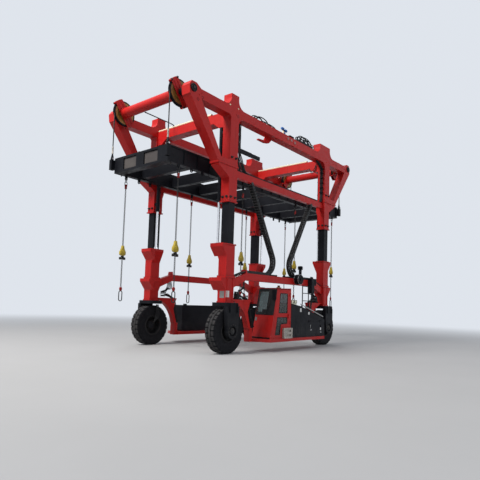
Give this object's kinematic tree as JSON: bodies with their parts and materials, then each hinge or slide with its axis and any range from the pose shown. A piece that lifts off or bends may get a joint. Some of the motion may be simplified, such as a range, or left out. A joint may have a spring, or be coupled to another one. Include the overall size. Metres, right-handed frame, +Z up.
{
  "type": "straddle carrier",
  "caption": "Straddle carrier that drives over a long unit load and lifts it from a hanging spreader, with telescoping legs, steered wheels and a side cab.",
  "frame": {"origin": "on the ground, midway between the wheels and in the middle of the overall width", "axes": "+X along the length (the near-left end is -X), -Y the cab side, +Z up"},
  "size_m": [10.48, 4.85, 8.0522],
  "materials": {
    "red_paint": "satin",
    "black_paint": "satin",
    "dark_rim": "matte",
    "tyre": "matte",
    "polished_rod": "polished",
    "window": "clear",
    "seat": "matte",
    "machine_grey": "matte",
    "lamp": "satin",
    "galvanised": "brushed",
    "rail_black": "satin",
    "rope": "greased",
    "chain_plastic": "matte",
    "sheave_amber": "matte"
  },
  "bodies": {
    "near_chassis": {"near_lower_legs": "red_paint", "near_masts": "black_paint", "near_lift_rods": "polished_rod", "near_chassis_frame": "red_paint", "cab_shell": "red_paint", "cab_windows": "window", "cab_interior": "seat", "engine_housing": "black_paint", "engine_block": "machine_grey", "work_lamps": "lamp", "step_box": "galvanised", "handrails": "rail_black", "air_cleaner": "black_paint", "hydraulic_units": "black_paint", "energy_chains": "chain_plastic"},
    "cab_door_leaf": {"cab_door": "red_paint", "cab_door_glass": "window"},
    "engine_door_leaf": {"engine_door": "black_paint"},
    "upper_frame": {"near_side_frame": "red_paint", "far_side_frame": "red_paint", "leg_sleeves": "red_paint", "cross_beams": "red_paint", "side_rails": "red_paint", "lift_barrels": "black_paint", "end_shafts": "red_paint", "valve_gear": "rail_black", "hoist_ropes": "rope"},
    "spreader": {"spreader_frame": "black_paint", "spreader_lugs": "black_paint", "chain_slings": "rope"},
    "far_chassis": {"far_lower_legs": "red_paint", "far_masts": "black_paint", "far_lift_rods": "polished_rod", "far_chassis_frame": "red_paint", "far_tank": "black_paint"},
    "steer_nl": {"fork_nl": "black_paint"},
    "wheel_nl": {"rim_nl": "dark_rim", "tyre_nl": "tyre"},
    "pulley_nl": {"sheave_nl": "sheave_amber"},
    "steer_nr": {"fork_nr": "black_paint"},
    "wheel_nr": {"rim_nr": "dark_rim", "tyre_nr": "tyre"},
    "pulley_nr": {"sheave_nr": "sheave_amber"},
    "steer_fl": {"fork_fl": "black_paint"},
    "wheel_fl": {"rim_fl": "dark_rim", "tyre_fl": "tyre"},
    "pulley_fl": {"sheave_fl": "sheave_amber"},
    "steer_fr": {"fork_fr": "black_paint"},
    "wheel_fr": {"rim_fr": "dark_rim", "tyre_fr": "tyre"},
    "pulley_fr": {"sheave_fr": "sheave_amber"}
  },
  "joints": [
    {"name": "frame_lift", "type": "slide", "parent": "near_chassis", "child": "upper_frame", "axis": [0, 0, 1], "range_m": [-1.2, 0], "deforming": ["energy_chains"]},
    {"name": "far_lift", "type": "slide", "parent": "upper_frame", "child": "far_chassis", "axis": [0, 0, 1], "range_m": [0, 1.2]},
    {"name": "hoist", "type": "slide", "parent": "upper_frame", "child": "spreader", "axis": [0, 0, 1], "range_m": [-1.4, 0.6], "deforming": ["hoist_ropes"]},
    {"name": "steering_nl", "type": "hinge", "parent": "near_chassis", "child": "steer_nl", "pos_m": [-2.97, -1.735, 1.5], "axis": [0, 0, 1], "range_deg": [-90, 90]},
    {"name": "roll_nl", "type": "hinge", "parent": "steer_nl", "child": "wheel_nl", "pos_m": [-2.97, -1.735, 0.685], "axis": [0, 1, 0], "continuous": true},
    {"name": "turn_nl", "type": "hinge", "parent": "upper_frame", "child": "pulley_nl", "pos_m": [-4.82, -1.3, 7.565], "axis": [0, 1, 0], "continuous": true},
    {"name": "steering_nr", "type": "hinge", "parent": "near_chassis", "child": "steer_nr", "pos_m": [2.97, -1.735, 1.5], "axis": [0, 0, 1], "range_deg": [-90, 90]},
    {"name": "roll_nr", "type": "hinge", "parent": "steer_nr", "child": "wheel_nr", "pos_m": [2.97, -1.735, 0.685], "axis": [0, 1, 0], "continuous": true},
    {"name": "turn_nr", "type": "hinge", "parent": "upper_frame", "child": "pulley_nr", "pos_m": [4.82, -1.3, 7.565], "axis": [0, 1, 0], "continuous": true},
    {"name": "steering_fl", "type": "hinge", "parent": "far_chassis", "child": "steer_fl", "pos_m": [-2.97, 1.735, 1.5], "axis": [0, 0, 1], "range_deg": [-90, 90]},
    {"name": "roll_fl", "type": "hinge", "parent": "steer_fl", "child": "wheel_fl", "pos_m": [-2.97, 1.735, 0.685], "axis": [0, 1, 0], "continuous": true},
    {"name": "turn_fl", "type": "hinge", "parent": "upper_frame", "child": "pulley_fl", "pos_m": [-4.82, 1.3, 7.565], "axis": [0, 1, 0], "continuous": true},
    {"name": "steering_fr", "type": "hinge", "parent": "far_chassis", "child": "steer_fr", "pos_m": [2.97, 1.735, 1.5], "axis": [0, 0, 1], "range_deg": [-90, 90]},
    {"name": "roll_fr", "type": "hinge", "parent": "steer_fr", "child": "wheel_fr", "pos_m": [2.97, 1.735, 0.685], "axis": [0, 1, 0], "continuous": true},
    {"name": "turn_fr", "type": "hinge", "parent": "upper_frame", "child": "pulley_fr", "pos_m": [4.82, 1.3, 7.565], "axis": [0, 1, 0], "continuous": true},
    {"name": "cab_door_hinge", "type": "hinge", "parent": "near_chassis", "child": "cab_door_leaf", "pos_m": [-0.2895, -2.363, 1.24], "axis": [0, 0, 1], "range_deg": [0, 100]},
    {"name": "engine_door_hinge", "type": "hinge", "parent": "near_chassis", "child": "engine_door_leaf", "pos_m": [1.39, -2.363, 0.9625], "axis": [-1, 0, 0], "range_deg": [0, 95]}
  ],
  "couplings": [
    {"joint": "far_lift", "follows": "frame_lift", "ratio": -1}
  ]
}
